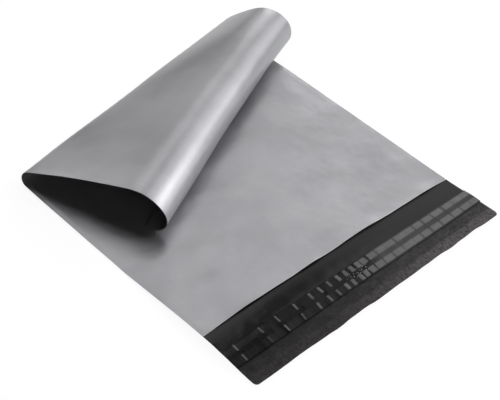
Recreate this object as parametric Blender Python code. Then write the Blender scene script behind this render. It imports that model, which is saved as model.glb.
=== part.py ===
"""An empty grey poly mailer, folded over once with its closed end curled under, modelled in metres.

The mailer is first made flat, as the real one is: a film pouch, welded at both sides, folded at the bottom
and open at the mouth, with a flap that carries a peel-and-seal strip. The flat film is then scored along its
bends and folded. Sheet coordinates are u across the width, v from the mouth towards the closed end (the flap
has negative v) and h above the middle of the film.
"""

import math

import bmesh
import bpy
import numpy as np
from mathutils import Vector

# The flat mailer
WIDTH = 0.250
LENGTH = 0.350
FLAP_LENGTH = 0.050
FILM_WALL = 0.00025
POUCH_GAP = 0.0006
SIDE_WELD = 0.004

# The peel-and-seal strip, measured on the flap from the mouth
LINER_START = 0.0168
LINER_WIDTH = 0.0158
LINER_THICKNESS = 0.0002
ADHESIVE_WIDTH = 0.004
ADHESIVE_THICKNESS = 0.0002
CLEARANCE = 0.0003

# The first fold, which runs askew, and the panel that bows forward from it, most at the far edge
FOLDED_LENGTH = 0.1623
FOLD_SKEW = math.radians(11.3)
FOLD_RADIUS = 0.0055
BOW_LENGTH = 0.103
NEAR_BOW_TURN = math.radians(8.3)
FAR_BOW_TURN = math.radians(33.5)
PANEL_RISE = math.radians(8.7)

# The closed end, which goes over a broad shoulder and curls under until it lies on the open panel
SHOULDER_LENGTH = 0.0313
SHOULDER_TURN = math.radians(59.7)
CURL_TAIL = 0.006

# The soft wave that lifts the mouth off the surface: at the near corner and at mid-width
CORNER_LIFT = 0.0033
MIDDLE_LIFT = 0.0026

# How finely the bends and the wave are divided
FOLD_STEPS = 14
BOW_STEPS = 8
SHOULDER_STEPS = 6
CURL_STEPS = 12
WAVE_COLUMNS = 14
FLAP_ROWS = 8
PANEL_ROWS = 7
EDGE_SEGMENTS = 2
SEATING_STEPS = 60
PROFILE_SAMPLES = 61

# Worked out from the sizes above
POUCH_THICKNESS = 2 * FILM_WALL + POUCH_GAP
FLAP_TOP = FILM_WALL - POUCH_THICKNESS / 2
FOLD_START = LENGTH - FOLDED_LENGTH
CUT_MARGIN = 0.002
MERGE_DISTANCE = 1e-7

FILM_COLOUR = (0.31, 0.31, 0.33, 1.0)
ADHESIVE_COLOUR = (0.12, 0.115, 0.115, 1.0)
LINER_COLOUR = (0.09, 0.085, 0.087, 1.0)


def clear_scene():
    for obj in list(bpy.data.objects):
        bpy.data.objects.remove(obj, do_unlink=True)


def new_collection(name):
    collection = bpy.data.collections.new(name)
    bpy.context.scene.collection.children.link(collection)
    return collection


def new_material(name, colour, roughness):
    material = bpy.data.materials.new(name)
    material.use_nodes = True
    shader = material.node_tree.nodes["Principled BSDF"]
    shader.inputs["Base Color"].default_value = colour
    shader.inputs["Roughness"].default_value = roughness
    shader.inputs["Metallic"].default_value = 0.0
    return material


def bend_profile(distance, bends):
    """Follows bends of (length, turn) from 0, straight before and after, to its advance, rise and heading."""
    advance = np.minimum(distance, 0.0)
    rise = np.zeros_like(advance)
    turned = np.zeros_like(advance)
    left = np.maximum(distance, 0.0)
    for length, turn in bends:
        part = np.minimum(left, length)
        radius = length / turn
        now = turned + part / radius
        advance = advance + radius * (np.sin(now) - np.sin(turned))
        rise = rise - radius * (np.cos(now) - np.cos(turned))
        turned = now
        left = left - part
    return advance + left * np.cos(turned), rise + left * np.sin(turned), turned


def fold_turn(u):
    """How far the first fold turns the sheet, at this distance across."""
    return math.pi - PANEL_RISE - bow_turn(u)


def bow_turn(u):
    """How far the folded panel bows forward beyond the fold, at this distance across."""
    return NEAR_BOW_TURN + (FAR_BOW_TURN - NEAR_BOW_TURN) * u / WIDTH


def curl_at(u, curls):
    """The curl's radius and turn at this distance across, from those at the near and the far edge."""
    near, far = curls
    return near[0] + (far[0] - near[0]) * u / WIDTH, near[1] + (far[1] - near[1]) * u / WIDTH


def shoulder_start(radius, turn):
    """Where the shoulder starts along the sheet, for a curl of this radius and turn."""
    return LENGTH - CURL_TAIL - radius * turn - SHOULDER_LENGTH


def fold_points(u, v, h, curls):
    """Where points of the flat sheet go when its closed end is curled and then folded over."""
    u, v, h = (np.asarray(values, float) for values in (u, v, h))
    radius, turn = curl_at(u, curls)
    start = shoulder_start(radius, turn)
    bends = [(SHOULDER_LENGTH, SHOULDER_TURN), (radius * turn, turn)]
    advance, rise, heading = bend_profile(v - start, bends)
    v = start + advance - h * np.sin(heading)
    h = rise + h * np.cos(heading)

    cosine = math.cos(FOLD_SKEW)
    sine = math.sin(FOLD_SKEW)
    along = u * cosine + (v - FOLD_START) * sine
    across = (v - FOLD_START) * cosine - u * sine
    bends = [(FOLD_RADIUS * fold_turn(u), fold_turn(u)), (BOW_LENGTH, bow_turn(u))]
    advance, rise, heading = bend_profile(across, bends)
    advance = advance - h * np.sin(heading)
    rise = rise + h * np.cos(heading)
    x = along * cosine - advance * sine
    y = FOLD_START + along * sine + advance * cosine
    return np.stack([x, y, rise], axis=-1)


def curl_points(edge, curls):
    """The sheet's middle over the shoulder and the curl, at side edge 0, the near one, or 1, the far one."""
    v = np.linspace(shoulder_start(*curls[edge]), LENGTH, PROFILE_SAMPLES)
    return fold_points(np.full_like(v, edge * WIDTH), v, np.zeros_like(v), curls)


def seated_curls():
    """The curl's radius and turn at both side edges, with which it comes to lie flat on the open panel."""
    seat = POUCH_THICKNESS + CLEARANCE
    curls = np.array([[FOLD_RADIUS, math.pi - SHOULDER_TURN]] * 2)
    for _ in range(SEATING_STEPS):
        for edge in (0, 1):
            points = curl_points(edge, curls)
            tail = points[-1] - points[-2]
            curls[edge][0] += (points[:, 2].min() - seat) / 2
            curls[edge][1] -= math.atan2(tail[2], tail[1]) / 2
    return curls


def wave_lift(u, v, wave_reach):
    """How far the soft wave along the mouth lifts the sheet: nothing at the flap's edge or under the curl."""
    along = np.clip(np.where(v < 0, v / FLAP_LENGTH, v / wave_reach), -1.0, 1.0)
    across = np.clip(u / WIDTH, 0.0, 1.0)
    height = MIDDLE_LIFT * np.sin(math.pi * across) + CORNER_LIFT * (1.0 - across)
    return height * np.cos(math.pi / 2 * along) ** 2


def box(name, low, high, collection):
    """A closed box between two corners, made from a unit cube."""
    low = Vector(low)
    high = Vector(high)
    mesh = bpy.data.meshes.new(name)
    shape = bmesh.new()
    bmesh.ops.create_cube(shape, size=1.0)
    bmesh.ops.scale(shape, vec=high - low, verts=shape.verts)
    bmesh.ops.translate(shape, vec=(low + high) / 2, verts=shape.verts)
    shape.to_mesh(mesh)
    shape.free()
    obj = bpy.data.objects.new(name, mesh)
    collection.objects.link(obj)
    return obj


def cut(target, cutter):
    modifier = target.modifiers.new("cut_" + cutter.name, "BOOLEAN")
    modifier.operation = "DIFFERENCE"
    modifier.solver = "EXACT"
    modifier.object = cutter
    cutter.hide_render = True
    cutter.display_type = "WIRE"


def round_closed_end(blank):
    """Rounds the outside of the bottom fold, as film that turns back on itself."""
    shape = bmesh.new()
    shape.from_mesh(blank.data)
    edges = [
        edge
        for edge in shape.edges
        if all(abs(vert.co.y - LENGTH) < MERGE_DISTANCE for vert in edge.verts)
        and abs(edge.verts[0].co.x - edge.verts[1].co.x) > WIDTH / 2
    ]
    bmesh.ops.bevel(shape, geom=edges, offset=FILM_WALL, segments=EDGE_SEGMENTS, affect="EDGES", profile=0.5)
    shape.to_mesh(blank.data)
    shape.free()


def flat_pouch(collection, cutters):
    """The flat pouch: one film, hollow between its side welds, with the back wall running on as the flap."""
    half = POUCH_THICKNESS / 2
    blank = box("film_pouch", (0, -FLAP_LENGTH, -half), (WIDTH, LENGTH, half), collection)
    round_closed_end(blank)
    above_flap = box(
        "above_flap",
        (-CUT_MARGIN, -FLAP_LENGTH - CUT_MARGIN, FLAP_TOP),
        (WIDTH + CUT_MARGIN, 0, half + CUT_MARGIN),
        cutters,
    )
    cavity = box(
        "pouch_cavity",
        (SIDE_WELD, -CUT_MARGIN, -POUCH_GAP / 2),
        (WIDTH - SIDE_WELD, LENGTH - FILM_WALL, POUCH_GAP / 2),
        cutters,
    )
    cut(blank, above_flap)
    cut(blank, cavity)
    bpy.context.view_layer.update()
    evaluated = blank.evaluated_get(bpy.context.evaluated_depsgraph_get())
    mesh = bpy.data.meshes.new_from_object(evaluated)
    blank.modifiers.clear()
    blank.data = mesh
    return blank


def score(shape, point, normal, keep=None):
    """Cuts an edge line through the faces for which keep holds, or through all of them."""
    faces = [face for face in shape.faces if keep is None or keep(face.calc_center_median())]
    edges = {edge for face in faces for edge in face.edges}
    verts = {vert for face in faces for vert in face.verts}
    bmesh.ops.bisect_plane(
        shape,
        geom=faces + list(edges) + list(verts),
        dist=MERGE_DISTANCE,
        plane_co=point,
        plane_no=normal,
    )


def score_wave(shape, wave_reach):
    """Rows over the flap and the lifted part of the panel, and columns across them."""
    across = Vector((1, 0, 0))
    lengthways = Vector((0, 1, 0))
    for row in range(1, FLAP_ROWS + 1):
        score(shape, Vector((0, -FLAP_LENGTH * (1 - row / FLAP_ROWS), 0)), lengthways)
    for row in range(1, PANEL_ROWS + 1):
        score(shape, Vector((0, wave_reach * row / PANEL_ROWS, 0)), lengthways)
    for column in range(1, WAVE_COLUMNS):
        point = Vector((WIDTH * column / WAVE_COLUMNS, 0, 0))
        score(shape, point, across, lambda centre: centre.y < wave_reach)


def bend_rows(u, radius, turn):
    """Where the rows of the fold, its bow, the shoulder and the curl lie along the sheet at one side edge."""
    loop = FOLD_RADIUS * fold_turn(u)
    across = [loop * step / FOLD_STEPS for step in range(FOLD_STEPS + 1)]
    across += [loop + BOW_LENGTH * step / BOW_STEPS for step in range(1, BOW_STEPS + 1)]
    rows = [FOLD_START + u * math.tan(FOLD_SKEW) + row / math.cos(FOLD_SKEW) for row in across]
    start = shoulder_start(radius, turn)
    rows += [start + SHOULDER_LENGTH * step / SHOULDER_STEPS for step in range(SHOULDER_STEPS)]
    rows += [LENGTH - CURL_TAIL - radius * turn * (1 - step / CURL_STEPS) for step in range(CURL_STEPS + 1)]
    return rows


def score_bends(shape, curls):
    """Rows along the skewed fold, its bow, the shoulder and the curl, which all change from side to side."""
    for near, far in zip(bend_rows(0, *curls[0]), bend_rows(WIDTH, *curls[1])):
        direction = Vector((WIDTH, far - near, 0)).normalized()
        score(shape, Vector((0, near, 0)), Vector((-direction.y, direction.x, 0)))


def place_mesh(mesh, curls, wave_reach):
    """Moves every point of a flat, scored mesh to its folded place."""
    flat = np.empty(len(mesh.vertices) * 3)
    mesh.vertices.foreach_get("co", flat)
    u, v, h = flat.reshape(-1, 3).T
    points = fold_points(u, v, h, curls)
    points[:, 2] += wave_lift(u, v, wave_reach)
    mesh.vertices.foreach_set("co", points.ravel())
    mesh.update()
    return points


def finish(obj, material, location):
    obj.location = location
    obj.data.materials.clear()
    obj.data.materials.append(material)
    obj.data.shade_smooth()
    obj.data.set_sharp_from_angle(angle=math.radians(40))


def fold_film(pouch, curls, wave_reach):
    shape = bmesh.new()
    shape.from_mesh(pouch.data)
    bmesh.ops.remove_doubles(shape, verts=shape.verts, dist=MERGE_DISTANCE)
    score_wave(shape, wave_reach)
    score_bends(shape, curls)
    shape.to_mesh(pouch.data)
    shape.free()
    return place_mesh(pouch.data, curls, wave_reach)


def flap_strip(name, start, width, bottom, thickness, collection, curls, wave_reach):
    """A strip that runs from side to side on the flap, start being its distance from the mouth."""
    low = (0, -start - width, bottom)
    high = (WIDTH, -start, bottom + thickness)
    strip = box(name, low, high, collection)
    shape = bmesh.new()
    shape.from_mesh(strip.data)
    score_wave(shape, wave_reach)
    shape.to_mesh(strip.data)
    shape.free()
    place_mesh(strip.data, curls, wave_reach)
    return strip


def build():
    clear_scene()
    pieces = new_collection("poly_mailer")
    cutters = new_collection("poly_mailer_cutters")
    curls = seated_curls()
    wave_reach = curl_points(0, curls)[:, 1].min()

    pouch = flat_pouch(pieces, cutters)
    points = fold_film(pouch, curls, wave_reach)
    low = points.min(axis=0)
    high = points.max(axis=0)
    location = Vector((-(low[0] + high[0]) / 2, -(low[1] + high[1]) / 2, -low[2]))
    finish(pouch, new_material("film_pouch", FILM_COLOUR, 0.38), location)

    adhesive_bottom = FLAP_TOP + CLEARANCE
    adhesive_start = LINER_START + (LINER_WIDTH - ADHESIVE_WIDTH) / 2
    adhesive = flap_strip(
        "adhesive_strip",
        adhesive_start,
        ADHESIVE_WIDTH,
        adhesive_bottom,
        ADHESIVE_THICKNESS,
        pieces,
        curls,
        wave_reach,
    )
    finish(adhesive, new_material("adhesive_strip", ADHESIVE_COLOUR, 0.25), location)

    liner = flap_strip(
        "release_liner",
        LINER_START,
        LINER_WIDTH,
        adhesive_bottom + ADHESIVE_THICKNESS + CLEARANCE,
        LINER_THICKNESS,
        pieces,
        curls,
        wave_reach,
    )
    finish(liner, new_material("release_liner", LINER_COLOUR, 0.3), location)


build()
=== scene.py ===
"""The looks of an empty grey poly mailer, folded over once with its closed end curled under.

Each piece is laid out flat in sheet coordinates and then folded the way its solid is. u runs across the
width, v runs from the mouth towards the closed end, so that the flap has negative v, and h stands above the
middle of the film. All sizes are in metres.
"""

import math

import bpy
import numpy as np
from mathutils import Matrix, Vector


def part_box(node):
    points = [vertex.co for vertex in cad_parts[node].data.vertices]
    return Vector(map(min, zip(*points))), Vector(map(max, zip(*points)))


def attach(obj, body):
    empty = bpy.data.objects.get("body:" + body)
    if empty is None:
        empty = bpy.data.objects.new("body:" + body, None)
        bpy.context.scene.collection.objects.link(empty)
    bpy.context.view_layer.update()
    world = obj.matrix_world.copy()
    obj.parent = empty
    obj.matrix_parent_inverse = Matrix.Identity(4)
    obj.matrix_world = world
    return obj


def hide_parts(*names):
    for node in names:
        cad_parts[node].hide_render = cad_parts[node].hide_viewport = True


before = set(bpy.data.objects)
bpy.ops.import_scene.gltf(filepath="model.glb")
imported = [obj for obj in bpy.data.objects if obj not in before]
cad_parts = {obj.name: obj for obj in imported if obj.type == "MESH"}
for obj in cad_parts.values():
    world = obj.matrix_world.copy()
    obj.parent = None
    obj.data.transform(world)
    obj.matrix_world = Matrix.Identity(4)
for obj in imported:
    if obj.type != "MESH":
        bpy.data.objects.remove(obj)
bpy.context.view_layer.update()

# The flat mailer and its strip, with the sizes that the solids have
WIDTH = 0.250
LENGTH = 0.350
FLAP_LENGTH = 0.050
FILM_WALL = 0.00025
POUCH_GAP = 0.0006
SIDE_WELD = 0.004
LINER_START = 0.0168
LINER_WIDTH = 0.0158
LINER_THICKNESS = 0.0002
ADHESIVE_WIDTH = 0.004
ADHESIVE_THICKNESS = 0.0002
CLEARANCE = 0.0003

# The fold, the bow, the curl and the wave along the mouth, as in the solids
FOLDED_LENGTH = 0.1623
FOLD_SKEW = math.radians(11.3)
FOLD_RADIUS = 0.0055
BOW_LENGTH = 0.103
NEAR_BOW_TURN = math.radians(8.3)
FAR_BOW_TURN = math.radians(33.5)
PANEL_RISE = math.radians(8.7)
SHOULDER_LENGTH = 0.0313
SHOULDER_TURN = math.radians(59.7)
CURL_TAIL = 0.006
CORNER_LIFT = 0.0033
MIDDLE_LIFT = 0.0026
SEATING_STEPS = 60
PROFILE_SAMPLES = 61

# The curvature of the shoulder and of the curl comes on softly: over twice this length, in small steps
EASE = 0.008
EASE_STEPS = 8

# Worked out from the sizes above
POUCH_THICKNESS = 2 * FILM_WALL + POUCH_GAP
FLAP_TOP = FILM_WALL - POUCH_THICKNESS / 2
FOLD_START = LENGTH - FOLDED_LENGTH

# The soft waves of the film, which only ever lift it off what it lies on
UNDULATION = 0.0007
UNDULATION_CELL = (0.052, 0.040)
EDGE_RIPPLE = 0.00025
EDGE_RIPPLE_REACH = 0.010
EDGE_RIPPLE_CELL = 0.017
CONTACT_REACH = 0.014
FLAP_WAVE = 0.0016
FLAP_WAVE_CELL = (0.015, 0.070)
FLAP_WAVE_NEAR_SHARE = 0.35
FLAP_CRINKLE = 0.00022
FLAP_CRINKLE_CELL = (0.0055, 0.0075)
FLAP_CRINKLE_ONSET = 3

# How far the two walls of the pouch stand apart, and how thick the welds are at the side edges
GAP_AT_WELD = 0.00005
GAP_RISE = 0.016
GAP_CELL = (0.034, 0.050)
GAP_EVEN_SHARE = 0.6
LIP_GAP = (0.0002, 0.0013)
LIP_REACH = 0.007
LIP_CELL = 0.020
WELD_EDGE_THICKNESS = 0.00032

# The cut edges: how much they wander, and how the flap's corners are rounded
FLAP_EDGE_WANDER = (0.0005, 0.0016)
FLAP_EDGE_CELL = 0.013
MOUTH_WANDER = 0.0003
MOUTH_CELL = 0.030
FLAP_CORNER = 0.003

# How finely the film is divided
WELD_COLUMNS = (0.0, 0.0005, 0.0012, 0.0020, 0.0030)
COLUMN_STEP = 0.0019
FLAP_STEP = 0.00125
MOUTH_ROWS = 0.021
MOUTH_STEP = 0.0015
PANEL_STEP = 0.0030
BEND_STEP = 0.0019
CAVITY_STEP = 0.0027
END_STEPS = 4

# The release liner's buckles, which cross its loose margins: narrow near the near edge, wide in the far half
LINER_COLUMN_STEP = 0.0004
LINER_ROWS = 24
FIRST_BUCKLE = 0.0095
BUCKLE_PLACES = (0.0, 0.070, 0.105, 0.125, 0.148, 0.250)
BUCKLE_SPACING = (0.022, 0.0125, 0.0078, 0.0060, 0.0102, 0.0112)
BUCKLE_LIGHT = (0.0012, 0.0018, 0.0027, 0.0034, 0.0092, 0.0102)
BUCKLE_HEIGHT = (0.00030, 0.00030, 0.00028, 0.00018, 0.00008, 0.00006)
BUCKLE_FAINTEST = (0.25, 0.30, 0.60, 0.75, 0.92, 0.95)
BUCKLE_LIGHT_SPREAD = (0.85, 1.08)
BUCKLE_HEIGHT_SPREAD = (0.7, 1.2)
BUCKLE_JITTER = 0.14
BUCKLE_SLANT = 0.10
BUCKLE_EDGE = 0.00025
STUCK_HALF = 0.0017
LOOSE_HALF = 0.0074
MARGIN_DROP = 0.00030

# How pale the liner is between its buckles and where it is stuck down, and where its far half begins, which
# is paler by a painted reflection
NEAR_PALENESS = 0.04
FAR_REFLECTED_PALENESS = 0.55
STUCK_REFLECTED_PALENESS = 0.36
REFLECTION_FROM = 0.131
REFLECTION_OVER = 0.020

# The adhesive's bead: how low its edges are, how uneven its top is, and how finely it is divided
BEAD_EDGE_SHARE = 0.05
BEAD_UNEVENNESS = 0.15
BEAD_CELL = (0.004, 0.003)
BEAD_COLUMN_STEP = 0.0016
BEAD_ROWS = 8

# The camera, at the photograph's viewing angle: azimuth from -Y, and roll about its own axis
CAMERA_AZIMUTH = math.radians(-49.07)
CAMERA_ELEVATION = math.radians(42.67)
CAMERA_ROLL = math.radians(7.21)
CAMERA_LENS = 95.36
SENSOR_WIDTH = 36.0
CAMERA_TARGET = Vector((-0.0194, -0.02046, 0.00055))
CAMERA_DISTANCE = 0.9612

# The softboxes: azimuth from +X and elevation in degrees, size, and power in watts
SOFTBOXES = (
    ("key_softbox", -27, 36, (0.62, 0.62), 9.0),
    ("left_softbox", -32, 16, (0.90, 0.90), 7.6),
    ("front_softbox", -1, 38, (0.95, 1.70), 9.6),
    ("right_softbox", 31, 38, (0.60, 1.00), 1.7),
    ("low_softbox", 36, 14, (0.62, 0.62), 6.0),
    ("rear_softbox", 58, 20, (0.70, 0.62), 1.2),
    ("top_softbox", 54, 53, (0.80, 1.20), 4.6),
    ("side_softbox", 92, 30, (0.80, 0.62), 11.8),
    ("fill_softbox", -112, 20, (1.20, 0.80), 4.5),
)
SOFTBOX_DISTANCE = 2.0
WORLD_LEVEL = 0.03

# The floor: its size, how far it lies below the mailer, and how much of what is seen of it is a plain glow
FLOOR_REACH = 6.0
FLOOR_DROP = 0.0002
FLOOR_GLOW_SHARE = 0.85
FLOOR_GLOW = 1.08

NOISE_CELLS = 64
SHARP_ANGLE = math.radians(42)


def smooth_noise(u, v, cell, seed):
    """Noise from -1 to 1 that turns smoothly from cell to cell, the same on every run."""
    values = np.random.default_rng(seed).uniform(-1.0, 1.0, (NOISE_CELLS, NOISE_CELLS))
    x, y = np.broadcast_arrays(np.asarray(u, float) / cell[0], np.asarray(v, float) / cell[1])
    column = np.floor(x).astype(int)
    row = np.floor(y).astype(int)
    x = x - column
    y = y - row
    x = x * x * x * (x * (6 * x - 15) + 10)
    y = y * y * y * (y * (6 * y - 15) + 10)
    column, next_column = column % NOISE_CELLS, (column + 1) % NOISE_CELLS
    row, next_row = row % NOISE_CELLS, (row + 1) % NOISE_CELLS
    low = values[column, row] * (1 - x) + values[next_column, row] * x
    high = values[column, next_row] * (1 - x) + values[next_column, next_row] * x
    return low * (1 - y) + high * y


def raised_noise(u, v, cell, seed):
    """The same noise from 0 to 1."""
    return 0.5 + 0.5 * smooth_noise(u, v, cell, seed)


def smooth_step(value):
    """From 0 to 1 as the value does, with smooth ends."""
    value = np.clip(value, 0.0, 1.0)
    return value * value * (3 - 2 * value)


def bend_profile(distance, bends):
    """Follows bends of (length, turn) from 0, straight before and after, to its advance, rise and heading."""
    advance = np.minimum(distance, 0.0)
    rise = np.zeros_like(advance)
    turned = np.zeros_like(advance)
    left = np.maximum(distance, 0.0)
    for length, turn in bends:
        part = np.minimum(left, length)
        radius = length / turn
        now = turned + part / radius
        advance = advance + radius * (np.sin(now) - np.sin(turned))
        rise = rise - radius * (np.cos(now) - np.cos(turned))
        turned = now
        left = left - part
    return advance + left * np.cos(turned), rise + left * np.sin(turned), turned


def eased(bends):
    """The same bends with each one's curvature coming on softly, for which the first starts EASE earlier."""
    step = 2 * EASE / EASE_STEPS
    before = 0.0
    soft_bends = []
    for number, (length, turn) in enumerate(bends):
        curvature = turn / length
        for part in range(EASE_STEPS):
            share = smooth_step((part + 0.5) / EASE_STEPS)
            soft_bends.append((step, (before + (curvature - before) * share) * step))
        left = length - EASE if number == len(bends) - 1 else length - 2 * EASE
        soft_bends.append((left, curvature * left))
        before = curvature
    return soft_bends


def fold_turn(u):
    """How far the first fold turns the sheet, at this distance across."""
    return math.pi - PANEL_RISE - bow_turn(u)


def bow_turn(u):
    """How far the folded panel bows forward beyond the fold, at this distance across."""
    return NEAR_BOW_TURN + (FAR_BOW_TURN - NEAR_BOW_TURN) * u / WIDTH


def curl_at(u, curls):
    """The curl's radius and turn at this distance across, from those at the near and the far edge."""
    near, far = curls
    return near[0] + (far[0] - near[0]) * u / WIDTH, near[1] + (far[1] - near[1]) * u / WIDTH


def shoulder_start(radius, turn):
    """Where the shoulder starts along the sheet, for a curl of this radius and turn."""
    return LENGTH - CURL_TAIL - radius * turn - SHOULDER_LENGTH


def fold_points(u, v, h, curls):
    """Where points of the flat sheet go when its closed end is curled and then folded over."""
    u, v, h = np.broadcast_arrays(*(np.asarray(values, float) for values in (u, v, h)))
    radius, turn = curl_at(u, curls)
    start = shoulder_start(radius, turn)
    bends = [(SHOULDER_LENGTH, SHOULDER_TURN), (radius * turn, turn)]
    advance, rise, heading = bend_profile(v - start + EASE, eased(bends))
    v = start - EASE + advance - h * np.sin(heading)
    h = rise + h * np.cos(heading)

    cosine = math.cos(FOLD_SKEW)
    sine = math.sin(FOLD_SKEW)
    along = u * cosine + (v - FOLD_START) * sine
    across = (v - FOLD_START) * cosine - u * sine
    bends = [(FOLD_RADIUS * fold_turn(u), fold_turn(u)), (BOW_LENGTH, bow_turn(u))]
    advance, rise, heading = bend_profile(across, bends)
    advance = advance - h * np.sin(heading)
    rise = rise + h * np.cos(heading)
    x = along * cosine - advance * sine
    y = FOLD_START + along * sine + advance * cosine
    return np.stack([x, y, rise], axis=-1)


def curl_points(edge, curls):
    """The sheet's middle over the shoulder and the curl, at side edge 0, the near one, or 1, the far one."""
    v = np.linspace(shoulder_start(*curls[edge]), LENGTH, PROFILE_SAMPLES)
    return fold_points(edge * WIDTH, v, 0.0, curls)


def seated_curls():
    """The curl's radius and turn at both side edges, with which it comes to lie flat on the open panel."""
    seat = POUCH_THICKNESS + CLEARANCE
    curls = np.array([[FOLD_RADIUS, math.pi - SHOULDER_TURN]] * 2)
    for _ in range(SEATING_STEPS):
        for edge in (0, 1):
            points = curl_points(edge, curls)
            tail = points[-1] - points[-2]
            curls[edge][0] += (points[:, 2].min() - seat) / 2
            curls[edge][1] -= math.atan2(tail[2], tail[1]) / 2
    return curls


# The curl as it lies on the panel, the lines that it comes down on, and where the flat sheet's origin goes
CURLS = seated_curls()
CURL_LINES = [curl_points(edge, CURLS) for edge in (0, 1)]
WAVE_REACH = CURL_LINES[0][:, 1].min()
CONTACT = [points[points[:, 2].argmin()] for points in CURL_LINES]
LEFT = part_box("release_liner")[0].x
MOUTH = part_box("film_pouch")[0].y + FLAP_LENGTH
SHEET_ORIGIN = np.array([LEFT, MOUTH, POUCH_THICKNESS / 2])


def wave_lift(u, v):
    """How far the soft wave along the mouth lifts the sheet: nothing at the flap's edge or under the curl."""
    along = np.clip(np.where(v < 0, v / FLAP_LENGTH, v / WAVE_REACH), -1.0, 1.0)
    across = np.clip(u / WIDTH, 0.0, 1.0)
    height = MIDDLE_LIFT * np.sin(math.pi * across) + CORNER_LIFT * (1.0 - across)
    return height * np.cos(math.pi / 2 * along) ** 2


def away_from_curl(u, v):
    """From 0 on the line of the panel that the curl lies on, to 1 well away from it."""
    near, far = CONTACT
    line = near[1] + (u - near[0]) * (far[1] - near[1]) / (far[0] - near[0])
    return 1.0 - np.exp(-(((v - line) / CONTACT_REACH) ** 2))


def side_distance(u):
    """How far in from the nearer side edge."""
    return np.minimum(u, WIDTH - u)


def film_waves(u, v):
    """The film's own soft waves: broad ones all over, ripples at the side edges and flutes along the flap."""
    broad = raised_noise(u, v, UNDULATION_CELL, seed=11)
    ripple_cell = (UNDULATION_CELL[0], EDGE_RIPPLE_CELL)
    ripple = raised_noise(u / WIDTH * UNDULATION_CELL[0], v, ripple_cell, seed=23)
    waves = UNDULATION * broad + EDGE_RIPPLE * ripple * np.exp(-side_distance(u) / EDGE_RIPPLE_REACH)

    outwards = np.clip(-v / FLAP_LENGTH, 0.0, 1.0)
    far_side = FLAP_WAVE_NEAR_SHARE + (1 - FLAP_WAVE_NEAR_SHARE) * smooth_step(u / WIDTH)
    flutes = raised_noise(u, v, FLAP_WAVE_CELL, seed=37)
    crinkle = raised_noise(u, v, FLAP_CRINKLE_CELL, seed=41)
    waves = waves + FLAP_WAVE * flutes * far_side * outwards**2
    waves = waves + FLAP_CRINKLE * crinkle * smooth_step(outwards * FLAP_CRINKLE_ONSET)
    return waves * away_from_curl(u, v)


def place(u, v, h):
    """Where a point of the flat sheet lies in the row frame."""
    points = fold_points(u, v, h + film_waves(u, v), CURLS)
    points[..., 2] += wave_lift(u, v)
    return points + SHEET_ORIGIN


def wall_gap(u, v):
    """How far the pouch's walls stand apart: hardly at the welds and the bottom, most along the mouth."""
    inside = np.minimum(side_distance(u) - SIDE_WELD, LENGTH - v)
    opened = smooth_step(inside / GAP_RISE)
    uneven = smooth_noise(u, v, GAP_CELL, seed=53)
    pillow = POUCH_GAP * (GAP_EVEN_SHARE + (1 - GAP_EVEN_SHARE) * uneven)
    lip_share = raised_noise(u, 0.0 * u, (LIP_CELL, 1.0), seed=67)
    lip = LIP_GAP[0] + (LIP_GAP[1] - LIP_GAP[0]) * lip_share
    return GAP_AT_WELD + opened * (pillow + lip * np.exp(-v / LIP_REACH))


def front_top(u, v):
    """How far the front wall's outer face is from the back wall's, which is least at the side welds."""
    from_side = side_distance(u)
    weld_rise = 2 * FILM_WALL + GAP_AT_WELD - WELD_EDGE_THICKNESS
    welded = WELD_EDGE_THICKNESS + weld_rise * smooth_step(from_side / SIDE_WELD)
    return np.where(from_side < SIDE_WELD, welded, 2 * FILM_WALL + wall_gap(u, v))


def evenly(start, stop, step):
    """Evenly spaced values from start to stop, no more than a step apart."""
    return np.linspace(start, stop, int(math.ceil(abs(stop - start) / step)) + 1)


def chained(*stretches):
    """Joins stretches of values that each start where the last one ends."""
    return np.concatenate([stretches[0]] + [stretch[1:] for stretch in stretches[1:]])


class Shell:
    """Collects the points and faces of one piece, with each point's sheet coordinates."""

    def __init__(self):
        self.points = []
        self.sheet = []
        self.faces = []
        self.finishes = []
        self.count = 0

    def add(self, u, v, h, level):
        """Adds a grid of points and returns their numbers. The materials read the level beside u and v."""
        u, v, h = np.broadcast_arrays(*(np.asarray(values, float) for values in (u, v, h)))
        self.points.append(place(u, v, h).reshape(-1, 3))
        self.sheet.append(np.stack([u, v, level + 0 * u], axis=-1).reshape(-1, 3))
        numbers = np.arange(self.count, self.count + u.size).reshape(u.shape)
        self.count += u.size
        return numbers

    def face(self, corners, finish=0, flip=False):
        """Adds one face. The finish is the number of its material."""
        corners = [int(corner) for corner in corners]
        self.faces.append(corners[::-1] if flip else corners)
        self.finishes.append(finish)

    def bridge(self, lower, upper, finish=0, flip=False):
        """Faces between two rows of points: unflipped, along u they look to -v, and along v to +u."""
        for step in range(len(lower) - 1):
            self.face((lower[step], lower[step + 1], upper[step + 1], upper[step]), finish, flip)

    def skin(self, numbers, finish=0, flip=False):
        """Faces over a grid of points: unflipped, they look to +h."""
        for row in range(len(numbers) - 1):
            self.bridge(numbers[row], numbers[row + 1], finish, flip)

    def build(self, name, materials):
        """Makes the piece's object."""
        mesh = bpy.data.meshes.new(name)
        mesh.from_pydata(np.concatenate(self.points), [], self.faces)
        mesh.polygons.foreach_set("material_index", self.finishes)
        attribute = mesh.attributes.new("sheet", "FLOAT_VECTOR", "POINT")
        attribute.data.foreach_set("vector", np.concatenate(self.sheet).ravel())
        for material in materials:
            mesh.materials.append(material)
        mesh.shade_smooth()
        mesh.set_sharp_from_angle(angle=SHARP_ANGLE)
        mesh.update()
        piece = bpy.data.objects.new(name, mesh)
        bpy.context.scene.collection.objects.link(piece)
        return piece


# The film's two finishes, and the levels of its outer and inner faces
GREY, BLACK = 0, 1
BACK, INSIDE, FRONT = 0.0, 1.0, 2.0


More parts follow.
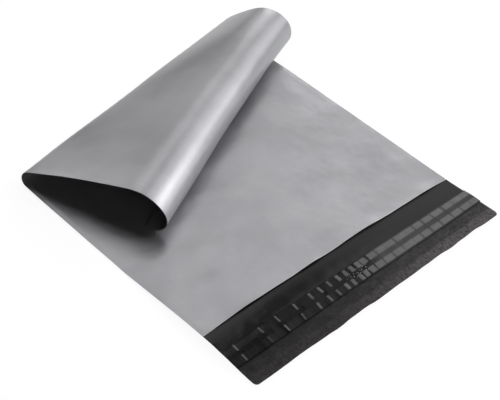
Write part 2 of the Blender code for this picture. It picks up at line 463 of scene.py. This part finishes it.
def corner_cut(u):
    """How far a rounded corner takes the flap's edge back at this distance across."""
    left = np.clip(FLAP_CORNER - side_distance(u), 0.0, FLAP_CORNER)
    return FLAP_CORNER - np.sqrt(FLAP_CORNER**2 - left**2)


def film_piece(materials):
    """The pouch's film as one closed skin: back wall and flap, front wall, welds, lip and hollow inside."""
    weld = np.array(WELD_COLUMNS)
    body = evenly(SIDE_WELD, WIDTH - SIDE_WELD, COLUMN_STEP)
    columns = np.concatenate([weld, body, WIDTH - weld[::-1]])
    first = len(weld)
    last = len(columns) - 1 - first
    inner = slice(first, last + 1)

    bottom = -POUCH_THICKNESS / 2
    flap_reach = FLAP_LENGTH - corner_cut(columns)
    wander = raised_noise(columns, 0 * columns, (FLAP_EDGE_CELL, 1.0), seed=71)
    flap_reach = flap_reach - wander * np.interp(columns, (0.0, WIDTH), FLAP_EDGE_WANDER)
    mouth = MOUTH_WANDER * smooth_noise(columns, 0 * columns, (MOUTH_CELL, 1.0), seed=73)
    flap_v = evenly(-1.0, 0.0, FLAP_STEP / FLAP_LENGTH)[:, None] * flap_reach[None, :]

    half = front_top(columns, LENGTH + 0 * columns) / 2
    end = LENGTH - half
    rows = chained(
        evenly(0.0, MOUTH_ROWS, MOUTH_STEP),
        evenly(MOUTH_ROWS, FOLD_START, PANEL_STEP),
        evenly(FOLD_START, LENGTH, BEND_STEP),
    )
    pouch_v = rows[:, None] * (end / LENGTH)[None, :]
    front_v = pouch_v + mouth * np.exp(-pouch_v / LIP_REACH)

    cavity_rows = chained(
        evenly(0.0, MOUTH_ROWS, MOUTH_STEP),
        evenly(MOUTH_ROWS, FOLD_START, 2 * PANEL_STEP),
        evenly(FOLD_START, LENGTH - 2 * FILM_WALL, CAVITY_STEP),
    )
    cavity_u = columns[inner]
    cavity_v = cavity_rows[:, None] + 0 * cavity_u
    ceiling_v = cavity_v + mouth[inner] * np.exp(-cavity_v / LIP_REACH)

    shell = Shell()
    back = shell.add(columns, np.concatenate([flap_v, pouch_v[1:]]), bottom, BACK)
    front = shell.add(columns, front_v, bottom + front_top(columns, pouch_v), FRONT)
    flap = shell.add(columns, flap_v, bottom + FILM_WALL, INSIDE)
    floor = shell.add(cavity_u, cavity_v[1:], bottom + FILM_WALL, INSIDE)
    floor = np.concatenate([flap[-1:, inner], floor])
    ceiling = shell.add(cavity_u, ceiling_v, bottom + FILM_WALL + wall_gap(cavity_u, cavity_v), INSIDE)

    shell.skin(back, GREY, flip=True)
    shell.skin(front, GREY)
    shell.skin(flap, BLACK)
    shell.skin(floor, BLACK)
    shell.skin(ceiling, BLACK, flip=True)

    # The flap's edge, the lip of the front wall, and the mouth's ends in the welds
    shell.bridge(back[0], flap[0], BLACK)
    shell.bridge(ceiling[0], front[0, inner], GREY)
    shell.bridge(flap[-1, :first], front[0, :first], GREY)
    shell.bridge(flap[-1, last + 1:], front[0, last + 1:], GREY)
    near_end = (flap[-1, first - 1], flap[-1, first], ceiling[0, 0], front[0, first], front[0, first - 1])
    far_end = (flap[-1, last], flap[-1, last + 1], front[0, last + 1], front[0, last], ceiling[0, -1])
    shell.face(near_end, GREY)
    shell.face(far_end, GREY)

    # The hollow's sides and end
    shell.bridge(floor[:, 0], ceiling[:, 0], BLACK)
    shell.bridge(floor[:, -1], ceiling[:, -1], BLACK, flip=True)
    shell.bridge(floor[-1], ceiling[-1], BLACK)

    # The cut side edges
    turn = len(flap) - 1
    for side, flip in ((0, True), (-1, False)):
        shell.bridge(back[: turn + 1, side], flap[:, side], BLACK, flip)
        corners = (back[turn, side], back[turn + 1, side], front[1, side], front[0, side], flap[-1, side])
        shell.face(corners, GREY, flip)
        shell.bridge(back[turn + 1:, side], front[1:, side], GREY, flip)

    # The bottom, where the film turns back on itself
    lower = back[-1]
    for step in range(1, END_STEPS):
        angle = math.pi * step / END_STEPS
        upper = shell.add(columns, end + half * math.sin(angle), bottom + half * (1 - math.cos(angle)), BACK)
        shell.bridge(lower, upper, GREY, flip=True)
        lower = upper
    shell.bridge(lower, front[-1], GREY, flip=True)
    close_ends(shell, back, front)
    return shell.build("pouch_film", materials)


def close_ends(shell, back, front):
    """Closes the bottom's round strip, which was added last, at both side edges with one face each."""
    added = shell.count - (END_STEPS - 1) * back.shape[1]
    rounds = np.arange(added, shell.count).reshape(END_STEPS - 1, -1)
    for side, flip in ((0, True), (-1, False)):
        shell.face((back[-1, side], *rounds[:, side], front[-1, side]), GREY, flip)


def buckles():
    """The liner's buckles: middle, half-width, height, slant, and how much each of the margins shows it."""
    random = np.random.default_rng(9)
    found = []
    middle = FIRST_BUCKLE
    while middle < WIDTH:
        light = np.interp(middle, BUCKLE_PLACES, BUCKLE_LIGHT) * random.uniform(*BUCKLE_LIGHT_SPREAD)
        height = np.interp(middle, BUCKLE_PLACES, BUCKLE_HEIGHT) * random.uniform(*BUCKLE_HEIGHT_SPREAD)
        faintest = np.interp(middle, BUCKLE_PLACES, BUCKLE_FAINTEST)
        shown = random.uniform(faintest, 1.0, 2)
        slant = random.uniform(-BUCKLE_SLANT, BUCKLE_SLANT)
        found.append((middle, light / 2, height, slant, shown))
        jitter = random.uniform(1 - BUCKLE_JITTER, 1 + BUCKLE_JITTER)
        middle += np.interp(middle, BUCKLE_PLACES, BUCKLE_SPACING) * jitter
    return found


def buckled(u, across):
    """How high the liner's buckles stand and how pale they are, partly by a painted reflection, at points
    across the liner (0 to 1).
    """
    from_middle = (across - 0.5) * LINER_WIDTH
    margin = smooth_step((np.abs(from_middle) - STUCK_HALF) / (2 * BUCKLE_EDGE))
    margin = margin * smooth_step((LOOSE_HALF - np.abs(from_middle)) / (2 * BUCKLE_EDGE))
    height = 0 * u
    pale = 0 * u
    for middle, half, high, slant, shown in BUCKLES:
        off = np.abs(u - middle - slant * from_middle)
        share = shown[0] + (shown[1] - shown[0]) * (from_middle > 0)
        height = height + high * share * np.sqrt(np.clip(1 - (off / (half + BUCKLE_EDGE)) ** 2, 0.0, 1.0))
        pale = pale + share * smooth_step((half + BUCKLE_EDGE - off) / (2 * BUCKLE_EDGE))
    # Painted reflection: the far half is paler between the buckles and along the stuck middle
    far_half = smooth_step((u - REFLECTION_FROM) / REFLECTION_OVER)
    between = (NEAR_PALENESS + (FAR_REFLECTED_PALENESS - NEAR_PALENESS) * far_half) * margin
    stuck = STUCK_REFLECTED_PALENESS * far_half * (1 - margin)
    return height * margin, np.maximum(np.maximum(pale * margin, between), stuck)


BUCKLES = buckles()


def strip_piece(name, start, width, under, over, columns, rows, material, level=None):
    """A closed strip across the flap, from one height above the flap's top to another."""
    across = np.linspace(0.0, 1.0, rows + 1)[::-1, None]
    u = columns[None, :] + 0 * across
    v = -(start + width * across) + 0 * u
    base = FLAP_TOP + 0 * u
    shade = level(u, 1 - across) if level else FRONT
    shell = Shell()
    bottom = shell.add(u, v, base + under(u, 1 - across), BACK)
    top = shell.add(u, v, base + over(u, 1 - across), shade)
    shell.skin(bottom, flip=True)
    shell.skin(top)
    shell.bridge(bottom[0], top[0])
    shell.bridge(bottom[-1], top[-1], flip=True)
    shell.bridge(bottom[:, 0], top[:, 0], flip=True)
    shell.bridge(bottom[:, -1], top[:, -1])
    return shell.build(name, [material])


def liner_piece(material):
    """The release liner, stuck down along its middle, with loose, buckled margins."""
    seat = CLEARANCE + ADHESIVE_THICKNESS + CLEARANCE

    def under(u, across):
        from_middle = np.abs(across - 0.5) * LINER_WIDTH
        drop = MARGIN_DROP * smooth_step((from_middle - STUCK_HALF) / (LINER_WIDTH / 2 - STUCK_HALF))
        return seat - drop + buckled(u, across)[0]

    def over(u, across):
        return under(u, across) + LINER_THICKNESS

    def level(u, across):
        return buckled(u, across)[1]

    columns = evenly(0.0, WIDTH, LINER_COLUMN_STEP)
    return strip_piece(
        "liner_strip", LINER_START, LINER_WIDTH, under, over, columns, LINER_ROWS, material, level
    )


def glue_piece(material):
    """The adhesive, a low bead along the flap under the liner's middle."""
    start = LINER_START + (LINER_WIDTH - ADHESIVE_WIDTH) / 2

    def under(u, across):
        return CLEARANCE + 0 * u * across

    def over(u, across):
        bead = np.sqrt(np.clip(1 - (2 * across - 1) ** 2, BEAD_EDGE_SHARE, 1.0))
        lumps = smooth_noise(u, across * ADHESIVE_WIDTH, BEAD_CELL, seed=97)
        return CLEARANCE + ADHESIVE_THICKNESS * bead * (1 - BEAD_UNEVENNESS + BEAD_UNEVENNESS * lumps)

    columns = evenly(0.0, WIDTH, BEAD_COLUMN_STEP)
    return strip_piece("adhesive_bead", start, ADHESIVE_WIDTH, under, over, columns, BEAD_ROWS, material)


class Nodes:
    """Short forms for building one material's nodes."""

    def __init__(self, name):
        self.material = bpy.data.materials.new(name)
        self.material.use_nodes = True
        self.tree = self.material.node_tree
        self.shader = self.tree.nodes["Principled BSDF"]

    def add(self, kind, inputs, output=0, **settings):
        """Adds a node and returns its output. The inputs are values or other nodes' outputs."""
        node = self.tree.nodes.new(kind)
        for key, value in settings.items():
            setattr(node, key, value)
        for key, value in inputs.items():
            self.feed(node, key, value)
        return node.outputs[output]

    def feed(self, node, key, value):
        if isinstance(value, bpy.types.NodeSocket):
            self.tree.links.new(value, node.inputs[key])
        else:
            node.inputs[key].default_value = value

    def sheet(self):
        """The point's u, v and level."""
        return self.add("ShaderNodeAttribute", {}, output="Vector", attribute_name="sheet")

    def part(self, vector, axis):
        return self.add("ShaderNodeSeparateXYZ", {0: vector}, output=axis)

    def stretched(self, vector, scale):
        return self.add("ShaderNodeMapping", {"Vector": vector, "Scale": scale})

    def noise(self, vector, scale, detail=3.0, roughness=0.5):
        inputs = {"Vector": vector, "Scale": scale, "Detail": detail, "Roughness": roughness}
        return self.add("ShaderNodeTexNoise", inputs)

    def math(self, operation, first, second=0.0, third=0.0):
        return self.add("ShaderNodeMath", {0: first, 1: second, 2: third}, operation=operation)

    def between(self, value, low, high, to_low=0.0, to_high=1.0):
        """Maps low..high of the value to to_low..to_high, with smooth ends."""
        inputs = {0: value, 1: low, 2: high, 3: to_low, 4: to_high}
        return self.add("ShaderNodeMapRange", inputs, interpolation_type="SMOOTHSTEP")

    def mix(self, factor, first, second):
        inputs = {0: factor, 6: first, 7: second}
        return self.add("ShaderNodeMix", inputs, output=2, data_type="RGBA")

    def bump(self, height, distance, normal=None):
        inputs = {"Height": height, "Distance": distance}
        if normal is not None:
            inputs["Normal"] = normal
        return self.add("ShaderNodeBump", inputs)

    def finish(self, **inputs):
        """Feeds the shader and returns the material."""
        for key, value in inputs.items():
            self.feed(self.shader, key.replace("_", " "), value)
        return self.material


def grey(value, tint=1.0):
    """A linear colour of equal red and green, with the blue tinted."""
    return (value, value, value * tint, 1.0)


# The film's outside: from dark to light clouds, the mottle over them, and a painted highlight along the cut
# lip
FILM_DARK = grey(0.325, 1.05)
FILM_LIGHT = grey(0.385, 1.05)
FILM_MOTTLE = grey(0.48, 1.03)
FILM_LIP_HIGHLIGHT = grey(0.60)

# The black film's near and far side, the far side lighter by a painted reflection: inwards of the liner,
# beyond it, along the rim, in patches and specks
INNER_NEAR = grey(0.006)
INNER_FAR = grey(0.030)
OUTER_NEAR = grey(0.010)
OUTER_FAR = (0.036, 0.034, 0.034, 1.0)
RIM_NEAR = (0.026, 0.022, 0.022, 1.0)
RIM_FAR = (0.120, 0.108, 0.110, 1.0)
PATCH_NEAR = (0.040, 0.035, 0.035, 1.0)
PATCH_FAR = (0.080, 0.072, 0.073, 1.0)
DARK_SPECK = grey(0.004)

# The liner where it is stuck down, where it is loose, and its painted glints; then the adhesive
LINER_BLACK = grey(0.003)
LINER_DARK = (0.175, 0.170, 0.172, 1.0)
LINER_LIGHT = (0.205, 0.200, 0.202, 1.0)
PAINTED_GLINT = grey(0.75)
GLUE_DARK = (0.022, 0.021, 0.020, 1.0)
GLUE_LIGHT = (0.045, 0.043, 0.040, 1.0)

# Where the finishes change on the flat sheet: each change starts at one place and ends at the next
LIP_HIGHLIGHT_END = (0.0003, 0.0008)
REFLECTION_RAMP = (0.06, 0.20)
MOUTH_LIGHTENING_END = (0.002, 0.010)
OUTER_START = (LINER_START + LINER_WIDTH - 0.0030, LINER_START + LINER_WIDTH - 0.0010)
RIM_START = (0.0405, 0.0430)
RIM_WAVER = 0.004
GLINTS_START = (0.108, 0.118)
GLINTS_END = (0.132, 0.142)
GLINTS_REACH = (0.0020, 0.0042)

# How deep the bumps are
DENT_DEPTH = 0.0013
BACK_DENT_SHARE = 0.3
GRAIN_DEPTH = 0.000005
SOFT_DEPTH = 0.0003
CRINKLE_DEPTH = 0.00028
CREASE_DEPTH = 0.00008
LUMP_DEPTH = 0.0001

# The scale of the sheet's u, v and level for a noise that takes no notice of the level
WITHOUT_LEVEL = (1.0, 1.0, 0.0)


def satin_film():
    """The pouch's outside: grey film with a soft satin sheen, faintly clouded, with shallow dents and a
    painted highlight on its cut lip.
    """
    nodes = Nodes("satin_film")
    sheet = nodes.sheet()
    clouds = nodes.noise(sheet, 14.0, detail=4.0, roughness=0.6)
    grain = nodes.noise(sheet, 2600.0, detail=2.0)
    dents = nodes.noise(sheet, 38.0, detail=3.0, roughness=0.4)

    colour = nodes.mix(nodes.between(clouds, 0.3, 0.7), FILM_DARK, FILM_LIGHT)
    mottle = nodes.noise(sheet, 26.0, detail=3.0, roughness=0.45)
    colour = nodes.mix(nodes.between(mottle, 0.40, 0.72, 0.0, 0.22), colour, FILM_MOTTLE)
    front = nodes.between(nodes.part(sheet, "Z"), BACK, FRONT)
    # Painted highlight: a lighter band along the front wall's cut lip
    lip = nodes.math("MULTIPLY", nodes.between(nodes.part(sheet, "Y"), *LIP_HIGHLIGHT_END, 1.0, 0.0), front)
    colour = nodes.mix(nodes.math("MULTIPLY", lip, 0.35), colour, FILM_LIP_HIGHLIGHT)
    roughness = nodes.between(clouds, 0.3, 0.7, 0.34, 0.38)
    dent_share = nodes.math("MULTIPLY_ADD", front, 1 - BACK_DENT_SHARE, BACK_DENT_SHARE)
    height = nodes.bump(nodes.math("MULTIPLY", dents, dent_share), DENT_DEPTH)
    height = nodes.bump(grain, GRAIN_DEPTH, normal=height)
    return nodes.finish(Base_Color=colour, Roughness=roughness, Metallic=0.65, Normal=height, IOR=1.5)


def black_film():
    """The pouch's inside and the flap's top: glossy black, crinkled and lighter towards the flap's edge, with
    a painted reflection on the far side.
    """
    nodes = Nodes("black_film")
    sheet = nodes.sheet()
    outwards = nodes.math("MULTIPLY", nodes.part(sheet, "Y"), -1.0)
    far_side = nodes.between(nodes.part(sheet, "X"), *REFLECTION_RAMP)
    crinkle = nodes.noise(nodes.stretched(sheet, (1.0, 0.8, 1.0)), 420.0, detail=4.0, roughness=0.7)
    clouds = nodes.noise(nodes.stretched(sheet, (1.0, 1.7, 1.0)), 75.0, detail=4.0, roughness=0.6)
    soft = nodes.noise(nodes.stretched(sheet, (1.0, 2.0, 1.0)), 30.0, detail=3.0)

    wavering = nodes.math("MULTIPLY_ADD", nodes.math("SUBTRACT", clouds, 0.5), RIM_WAVER)
    wavering = nodes.math("ADD", outwards, wavering)
    outer = nodes.between(outwards, *OUTER_START)
    rim = nodes.between(wavering, *RIM_START)

    # The inner black is lighter near the mouth, mixed part way towards its far-side tone
    near_lip = nodes.between(outwards, *MOUTH_LIGHTENING_END, 1.0, 0.0)
    # Painted reflection: the inner, outer, rim and patch tones all grow lighter towards the far side
    inner_colour = nodes.mix(far_side, INNER_NEAR, INNER_FAR)
    inner_colour = nodes.mix(nodes.math("MULTIPLY", near_lip, 0.4), inner_colour, INNER_FAR)
    outer_colour = nodes.mix(far_side, OUTER_NEAR, OUTER_FAR)
    colour = nodes.mix(outer, inner_colour, outer_colour)
    colour = nodes.mix(rim, colour, nodes.mix(far_side, RIM_NEAR, RIM_FAR))
    patches = nodes.math("MULTIPLY", nodes.between(clouds, 0.40, 0.62), outer)
    patch_colour = nodes.mix(far_side, PATCH_NEAR, PATCH_FAR)
    colour = nodes.mix(nodes.math("MULTIPLY", patches, 0.5), colour, patch_colour)
    specks = nodes.math("MULTIPLY", nodes.between(crinkle, 0.44, 0.64), outer)
    colour = nodes.mix(nodes.math("MULTIPLY", specks, 0.7), colour, DARK_SPECK)

    roughness = nodes.between(outer, 0.0, 1.0, 0.19, 0.30)
    height = nodes.bump(soft, SOFT_DEPTH)
    height = nodes.bump(nodes.math("MULTIPLY", crinkle, outer), CRINKLE_DEPTH, normal=height)
    return nodes.finish(
        Base_Color=colour, Roughness=roughness, Normal=height, IOR=1.45, Specular_IOR_Level=0.22
    )


def liner_film():
    """The release liner: glossy film, grey where it lies loose and black where it is stuck down; the grey is
    partly a painted reflection, strongest on the far half.
    """
    nodes = Nodes("liner_film")
    sheet = nodes.sheet()
    # The level holds the liner's paleness: partly the loose liner's haze, partly painted reflection
    pale = nodes.part(sheet, "Z")
    haze = nodes.noise(nodes.stretched(sheet, WITHOUT_LEVEL), 130.0, detail=3.0)
    light = nodes.mix(nodes.between(haze, 0.3, 0.7), LINER_DARK, LINER_LIGHT)
    colour = nodes.mix(pale, LINER_BLACK, light)

    # Painted glints: bright specks along the stuck middle, where the squares begin
    along = nodes.part(sheet, "X")
    off = nodes.math("ABSOLUTE", nodes.math("ADD", nodes.part(sheet, "Y"), LINER_START + LINER_WIDTH / 2))
    begun = nodes.between(along, *GLINTS_START)
    glinting = nodes.math("MULTIPLY", begun, nodes.between(along, *GLINTS_END, 1.0, 0.0))
    glinting = nodes.math("MULTIPLY", glinting, nodes.between(off, *GLINTS_REACH, 1.0, 0.0))
    specks = nodes.noise(nodes.stretched(sheet, WITHOUT_LEVEL), 1100.0, detail=1.0)
    specks = nodes.math("MULTIPLY", nodes.between(specks, 0.66, 0.70), glinting)
    colour = nodes.mix(specks, colour, PAINTED_GLINT)
    creases = nodes.noise(nodes.stretched(sheet, (1.0, 0.35, 0.0)), 420.0, detail=2.0)
    crease = nodes.bump(creases, CREASE_DEPTH)
    return nodes.finish(Base_Color=colour, Roughness=0.24, Normal=crease, IOR=1.45, Specular_IOR_Level=0.15)


def glue():
    """The adhesive: dark, glossy and a little uneven."""
    nodes = Nodes("glue")
    lumps = nodes.noise(nodes.sheet(), 700.0, detail=2.0)
    colour = nodes.mix(lumps, GLUE_DARK, GLUE_LIGHT)
    return nodes.finish(Base_Color=colour, Roughness=0.15, Normal=nodes.bump(lumps, LUMP_DEPTH), IOR=1.48)


def studio_floor():
    """A pale floor that shows as white, with the mailer's shadow on it."""
    nodes = Nodes("studio_floor")
    tree = nodes.tree
    path = tree.nodes.new("ShaderNodeLightPath")
    seen = nodes.math("MAXIMUM", path.outputs["Is Camera Ray"], path.outputs["Is Glossy Ray"])
    seen = nodes.math("MAXIMUM", seen, path.outputs["Is Transmission Ray"])
    share = nodes.math("MULTIPLY", seen, FLOOR_GLOW_SHARE)
    glow = nodes.add("ShaderNodeEmission", {"Color": grey(1.0), "Strength": FLOOR_GLOW})
    nodes.finish(Base_Color=grey(0.9), Roughness=0.9)
    blend = nodes.add("ShaderNodeMixShader", {0: share, 1: nodes.shader.outputs[0], 2: glow})
    tree.links.new(blend, tree.nodes["Material Output"].inputs["Surface"])
    return nodes.material


def add_floor():
    """Adds the floor, which isn't part of the mailer."""
    mesh = bpy.data.meshes.new("studio_floor")
    reach = FLOOR_REACH
    corners = [(-reach, -reach, 0), (reach, -reach, 0), (reach, reach, 0), (-reach, reach, 0)]
    mesh.from_pydata(corners, [], [(0, 1, 2, 3)])
    mesh.materials.append(studio_floor())
    floor = bpy.data.objects.new("studio_floor", mesh)
    floor.location.z = -FLOOR_DROP
    bpy.context.scene.collection.objects.link(floor)


def add_world():
    """Adds a world that the camera sees as white, and that lights the mailer only a little."""
    world = bpy.data.worlds.new("studio")
    bpy.context.scene.world = world
    world.use_nodes = True
    tree = world.node_tree
    background = tree.nodes["Background"]
    path = tree.nodes.new("ShaderNodeLightPath")
    strength = tree.nodes.new("ShaderNodeMapRange")
    strength.inputs["To Min"].default_value = WORLD_LEVEL
    strength.inputs["To Max"].default_value = 1.0
    tree.links.new(path.outputs["Is Camera Ray"], strength.inputs["Value"])
    tree.links.new(strength.outputs["Result"], background.inputs["Strength"])
    background.inputs["Color"].default_value = grey(1.0)


def add_softbox(name, azimuth, elevation, size, power):
    """Adds a rectangular lamp that looks at the mailer from this direction."""
    light = bpy.data.lights.new(name, "AREA")
    light.shape = "RECTANGLE"
    light.size, light.size_y = size
    light.energy = power
    lamp = bpy.data.objects.new(name, light)
    turn = math.radians(azimuth)
    tilt = math.radians(elevation)
    direction = Vector((math.cos(turn) * math.cos(tilt), math.sin(turn) * math.cos(tilt), math.sin(tilt)))
    lamp.location = direction * SOFTBOX_DISTANCE
    lamp.rotation_euler = direction.to_track_quat("Z", "Y").to_euler()
    bpy.context.scene.collection.objects.link(lamp)


def add_camera():
    """Adds the camera, turned about its own axis as the photograph was."""
    data = bpy.data.cameras.new("camera")
    data.sensor_width = SENSOR_WIDTH
    data.lens = CAMERA_LENS
    camera = bpy.data.objects.new("camera", data)
    turn, tilt = CAMERA_AZIMUTH, CAMERA_ELEVATION
    back = Vector((math.sin(turn) * math.cos(tilt), -math.cos(turn) * math.cos(tilt), math.sin(tilt)))
    right = Vector((math.cos(turn), math.sin(turn), 0.0))
    up = back.cross(right)
    rolled_right = right * math.cos(CAMERA_ROLL) + up * math.sin(CAMERA_ROLL)
    rolled_up = up * math.cos(CAMERA_ROLL) - right * math.sin(CAMERA_ROLL)
    camera.matrix_world = camera_matrix(rolled_right, rolled_up, back, CAMERA_TARGET + back * CAMERA_DISTANCE)
    bpy.context.scene.collection.objects.link(camera)
    bpy.context.scene.camera = camera


def camera_matrix(right, up, back, eye):
    """The camera's place and axes: it looks against back."""
    matrix = Matrix((right, up, back)).transposed().to_4x4()
    matrix.translation = eye
    return matrix


def dress():
    """Makes the pieces, each in place of its node, and hides the nodes."""
    film = film_piece([satin_film(), black_film()])
    glue_bead = glue_piece(glue())
    liner = liner_piece(liner_film())
    for piece, node, slot in (
        (film, "film_pouch", "film"),
        (glue_bead, "adhesive_strip", "adhesive"),
        (liner, "release_liner", "liner"),
    ):
        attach(piece, "root")
        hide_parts(node)


add_camera()
add_floor()
add_world()
for softbox in SOFTBOXES:
    add_softbox(*softbox)
dress()
bpy.context.scene.view_settings.view_transform = "Standard"
